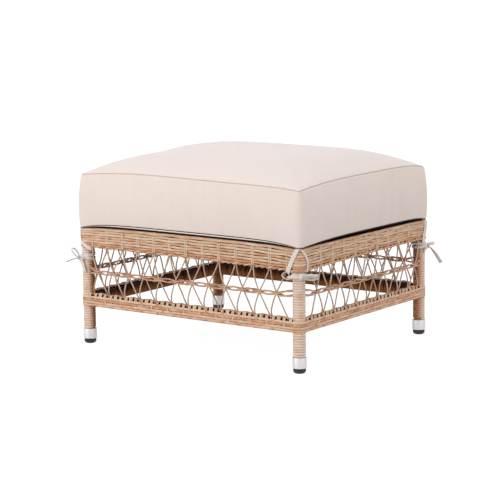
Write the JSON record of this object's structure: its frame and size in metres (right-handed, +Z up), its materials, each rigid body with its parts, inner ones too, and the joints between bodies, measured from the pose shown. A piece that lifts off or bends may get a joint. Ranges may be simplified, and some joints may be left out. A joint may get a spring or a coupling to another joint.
{
  "type": "outdoor ottoman footstool",
  "caption": "Low rectangular outdoor footstool: woven resin-wicker frame with open crossed-cane sides and a thick box cushion tied to its legs.",
  "frame": {"origin": "on the floor under the middle of the footstool", "axes": "+Z up, X along the long side, -Y towards the front"},
  "size_m": [0.62, 0.53, 0.4321],
  "materials": {
    "frame_tube": "powder coated, satin",
    "wicker": "flat and half-round resin strand, mixed tan, straw and grey-green, satin",
    "cane": "round resin cane, satin",
    "ferrule": "satin anodised",
    "foot": "moulded black polypropylene, fine texture",
    "deck": "flat resin bands, satin",
    "cloth": "plain-woven outdoor cloth, warm off-white",
    "foam": "open-cell foam, cream",
    "tape": "folded cloth tape, grey off-white",
    "zip": "moulded coil zip on woven tape"
  },
  "bodies": {
    "frame": {"apron_back": "wicker", "apron_front": "wicker", "apron_left": "wicker", "apron_right": "wicker", "canes_inner_back": "cane", "canes_inner_front": "cane", "canes_inner_left": "cane", "canes_inner_right": "cane", "canes_outer_back": "cane", "canes_outer_front": "cane", "canes_outer_left": "cane", "canes_outer_right": "cane", "cross_bar_left": "frame_tube", "cross_bar_right": "frame_tube", "ferrule_back_left": "ferrule", "ferrule_back_right": "ferrule", "ferrule_front_left": "ferrule", "ferrule_front_right": "ferrule", "foot_back_left": "foot", "foot_back_right": "foot", "foot_front_left": "foot", "foot_front_right": "foot", "leg_tube_back_left": "frame_tube", "leg_tube_back_right": "frame_tube", "leg_tube_front_left": "frame_tube", "leg_tube_front_right": "frame_tube", "leg_winding_back_left": "wicker", "leg_winding_back_right": "wicker", "leg_winding_front_left": "wicker", "leg_winding_front_right": "wicker", "lower_rail_back": "frame_tube", "lower_rail_front": "frame_tube", "lower_rail_left": "frame_tube", "lower_rail_right": "frame_tube", "rail_cover_back": "wicker", "rail_cover_front": "wicker", "rail_cover_left": "wicker", "rail_cover_right": "wicker", "seat_deck": "deck", "top_rail_back": "frame_tube", "top_rail_front": "frame_tube", "top_rail_left": "frame_tube", "top_rail_right": "frame_tube", "waist_twine_back": "cane", "waist_twine_front": "cane", "waist_twine_left": "cane", "waist_twine_right": "cane"},
    "cushion": {"cushion_core": "foam", "cushion_cover": "cloth", "cushion_zip": "zip", "tie_back_left": "tape", "tie_back_right": "tape", "tie_front_left": "tape", "tie_front_right": "tape"}
  },
  "joints": [
    {"name": "cushion_lift", "type": "slide", "parent": "frame", "child": "cushion", "axis": [0, 0, 1], "range_m": [0, 0.15], "deforming": ["tie_back_left", "tie_back_right", "tie_front_left", "tie_front_right"]}
  ]
}
